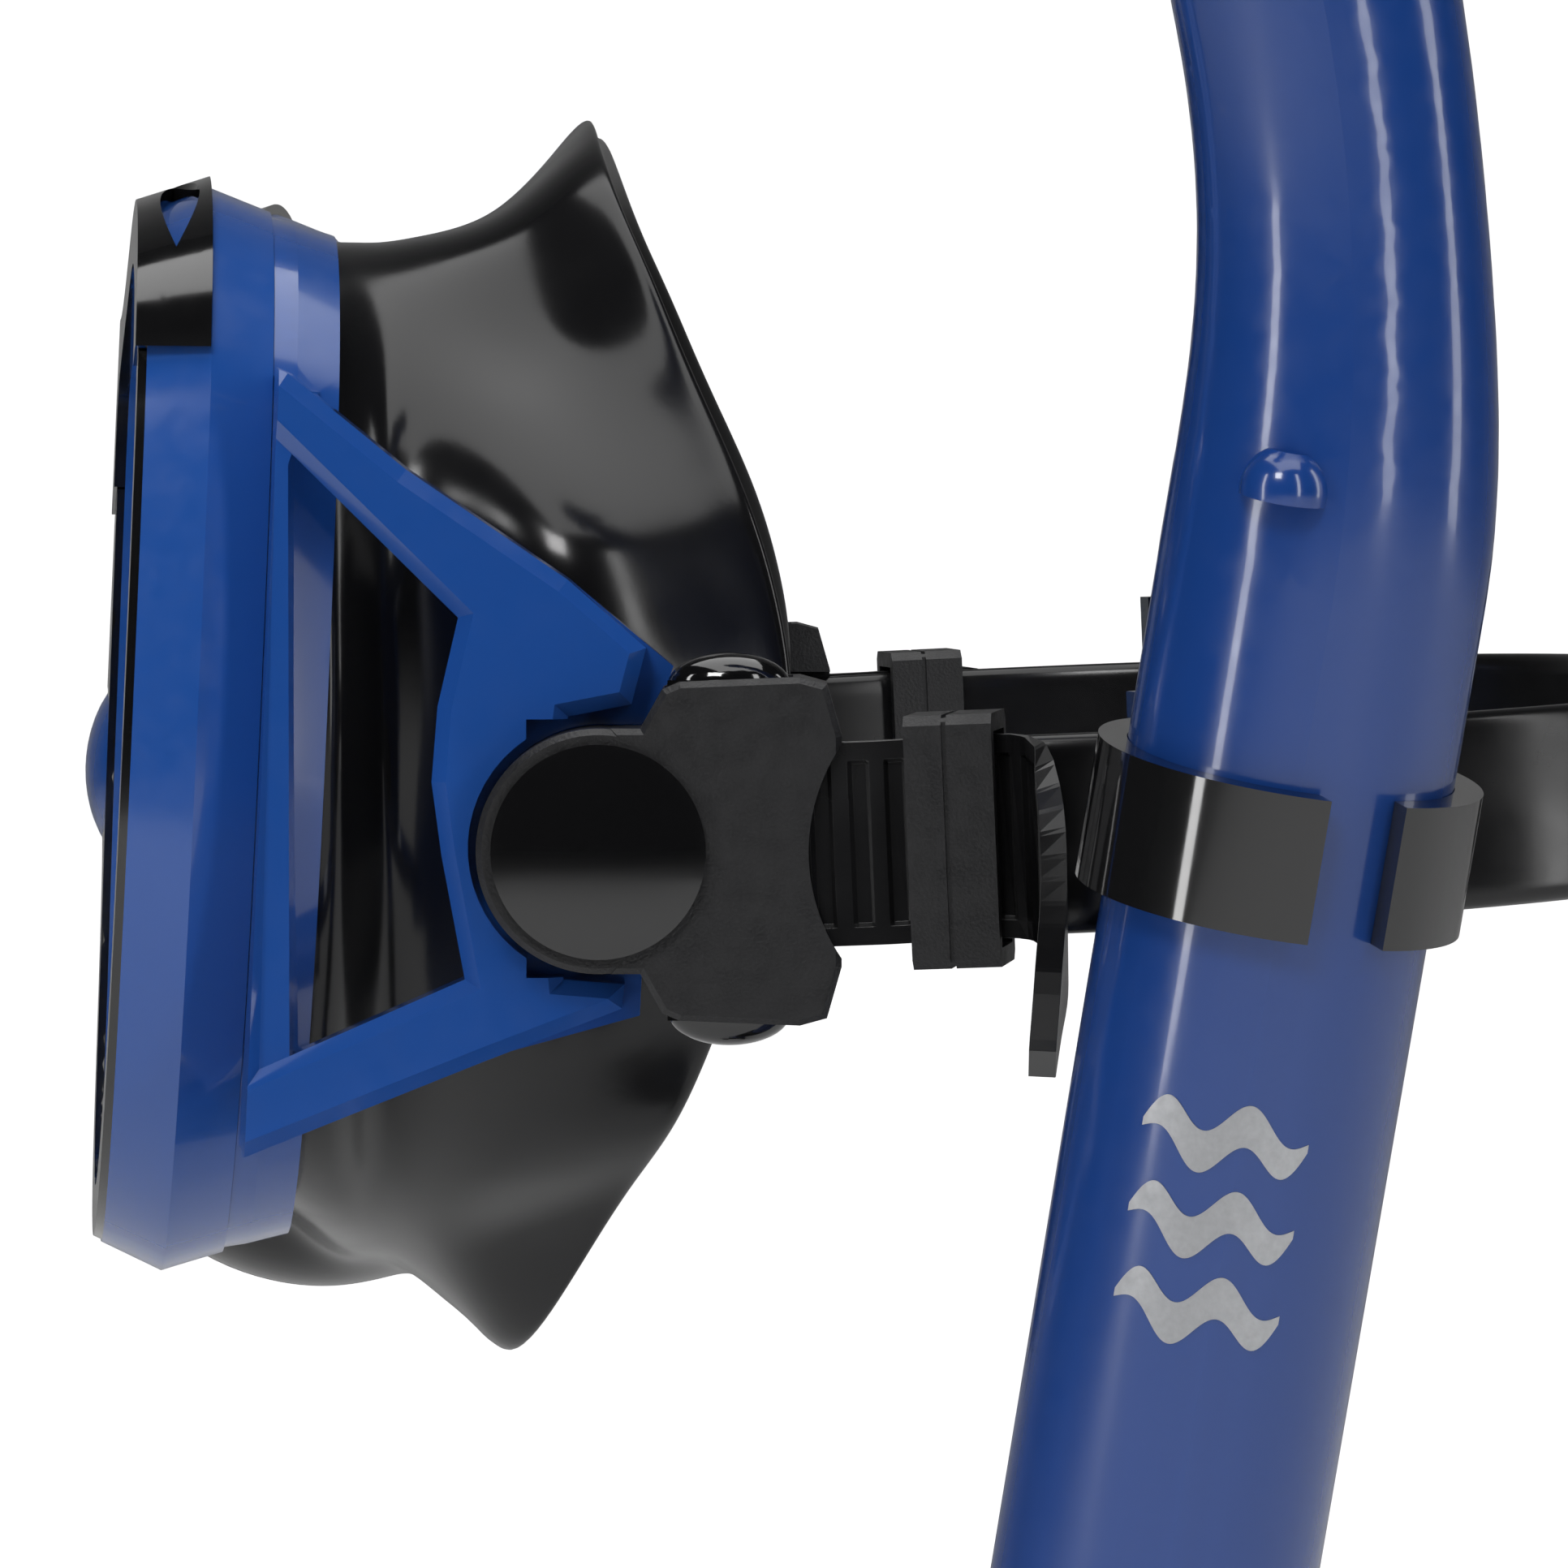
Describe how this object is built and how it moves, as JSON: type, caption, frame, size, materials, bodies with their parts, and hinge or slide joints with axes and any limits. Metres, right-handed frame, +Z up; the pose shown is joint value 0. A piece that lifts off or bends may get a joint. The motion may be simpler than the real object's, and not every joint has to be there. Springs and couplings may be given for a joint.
{
  "type": "snorkel mask",
  "caption": "Two-window diving mask with silicone skirt, buckled head strap and a dry-top snorkel held to the strap by a clip.",
  "frame": {"origin": "centre of the opening of the face seal", "axes": "+Z up, +X to the wearer's left, -Y the way the wearer looks"},
  "size_m": [0.2542, 0.1508, 0.3683],
  "materials": {
    "blue_plastic": "glossy moulded royal blue",
    "black_gloss": "glossy moulded black",
    "black_matte": "fine spark-eroded texture, black",
    "black_silicone": "polished black silicone",
    "lens_glass": "clear tempered glass",
    "steel": "bright spring steel"
  },
  "bodies": {
    "mask": {"front_frame": "blue_plastic", "front_bezel": "black_gloss", "brow_trim": "black_gloss", "lens_left": "lens_glass", "lens_right": "lens_glass", "rear_frame": "blue_plastic", "skirt": "black_silicone", "buckle_pivot_left": "black_matte", "buckle_pivot_right": "black_matte"},
    "left_buckle": {"buckle_body_left": "black_matte", "buckle_cap_left": "black_gloss", "upper_spring_left": "steel", "lower_spring_left": "steel", "strap": "black_silicone"},
    "right_buckle": {"buckle_body_right": "black_matte", "buckle_cap_right": "black_gloss", "upper_spring_right": "steel", "lower_spring_right": "steel"},
    "clip": {"snorkel_clip": "black_gloss"},
    "tube": {"snorkel_barrel": "blue_plastic", "dry_top_base": "blue_plastic", "dry_top_cap": "blue_plastic", "dry_top_pin": "steel"},
    "dry_float": {"dry_top_float": "black_matte"},
    "dry_flap": {"dry_top_flap": "black_silicone"},
    "lower_end": {"flex_hose": "black_silicone", "purge_chamber": "blue_plastic", "purge_flap": "black_silicone", "purge_cover": "black_matte", "mouthpiece": "black_silicone", "mouthpiece_tie": "black_matte"},
    "upper_button_left": {"upper_button_left": "black_gloss"},
    "lower_button_left": {"lower_button_left": "black_gloss"},
    "strap_roller_left": {"strap_roller_left": "black_matte"},
    "strap_keeper_left": {"strap_keeper_left": "black_matte"},
    "upper_button_right": {"upper_button_right": "black_gloss"},
    "lower_button_right": {"lower_button_right": "black_gloss"},
    "strap_roller_right": {"strap_roller_right": "black_matte"},
    "strap_keeper_right": {"strap_keeper_right": "black_matte"}
  },
  "joints": [
    {"name": "left_buckle_swing", "type": "hinge", "parent": "mask", "child": "left_buckle", "pos_m": [0.088, -0.008, -0.0114], "axis": [1, 0, 0], "range_deg": [-3, 3]},
    {"name": "right_buckle_swing", "type": "hinge", "parent": "mask", "child": "right_buckle", "pos_m": [-0.088, -0.008, -0.0114], "axis": [1, 0, 0], "range_deg": [-3, 3]},
    {"name": "upper_button_left_push", "type": "slide", "parent": "left_buckle", "child": "upper_button_left", "axis": [0, 0, -1], "range_m": [0, 0.0012], "stiffness_N_per_m": 500, "springref_m": -0.0006, "deforming": ["upper_spring_left"]},
    {"name": "lower_button_left_push", "type": "slide", "parent": "left_buckle", "child": "lower_button_left", "axis": [0, 0, 1], "range_m": [0, 0.0012], "stiffness_N_per_m": 500, "springref_m": -0.0006, "deforming": ["lower_spring_left"]},
    {"name": "strap_roller_left_spin", "type": "hinge", "parent": "left_buckle", "child": "strap_roller_left", "pos_m": [0.0864, 0.0036, -0.0114], "axis": [0, 0, 1], "continuous": true},
    {"name": "strap_keeper_left_slide", "type": "slide", "parent": "left_buckle", "child": "strap_keeper_left", "axis": [0.1392, 0.9893, 0.0432], "range_m": [-0.002, 0.0006]},
    {"name": "upper_button_right_push", "type": "slide", "parent": "right_buckle", "child": "upper_button_right", "axis": [0, 0, -1], "range_m": [0, 0.0012], "stiffness_N_per_m": 500, "springref_m": -0.0006, "deforming": ["upper_spring_right"]},
    {"name": "lower_button_right_push", "type": "slide", "parent": "right_buckle", "child": "lower_button_right", "axis": [0, 0, 1], "range_m": [0, 0.0012], "stiffness_N_per_m": 500, "springref_m": -0.0006, "deforming": ["lower_spring_right"]},
    {"name": "strap_roller_right_spin", "type": "hinge", "parent": "right_buckle", "child": "strap_roller_right", "pos_m": [-0.0864, 0.0036, -0.0114], "axis": [0, 0, 1], "continuous": true},
    {"name": "strap_keeper_right_slide", "type": "slide", "parent": "left_buckle", "child": "strap_keeper_right", "axis": [-0.1392, 0.9893, 0.0432], "range_m": [-0.002, 0.0006]},
    {"name": "clip_slide", "type": "slide", "parent": "left_buckle", "child": "clip", "axis": [-0.2079, 0.9772, 0.0427], "range_m": [-0.0005, 0.0018]},
    {"name": "tube_slide", "type": "slide", "parent": "clip", "child": "tube", "axis": [0.1375, 0.1532, 0.9786], "range_m": [-0.012, 0.02]},
    {"name": "mouthpiece_turn", "type": "hinge", "parent": "tube", "child": "lower_end", "pos_m": [0.09722, 0.03383, -0.08924], "axis": [0.1375, 0.1532, 0.9786], "continuous": true},
    {"name": "dry_flap_turn", "type": "hinge", "parent": "tube", "child": "dry_flap", "pos_m": [0.13209, 0.02513, 0.15884], "axis": [0.9903, 0, -0.1392], "range_deg": [0, 29.5]},
    {"name": "dry_float_rise", "type": "slide", "parent": "tube", "child": "dry_float", "axis": [0.1298, -0.3614, 0.9233], "range_m": [0, 0.0014]}
  ],
  "couplings": [
    {"joint": "right_buckle_swing", "follows": "left_buckle_swing", "ratio": 1},
    {"joint": "dry_flap_turn", "follows": "dry_float_rise", "rad_per_m": 367}
  ]
}
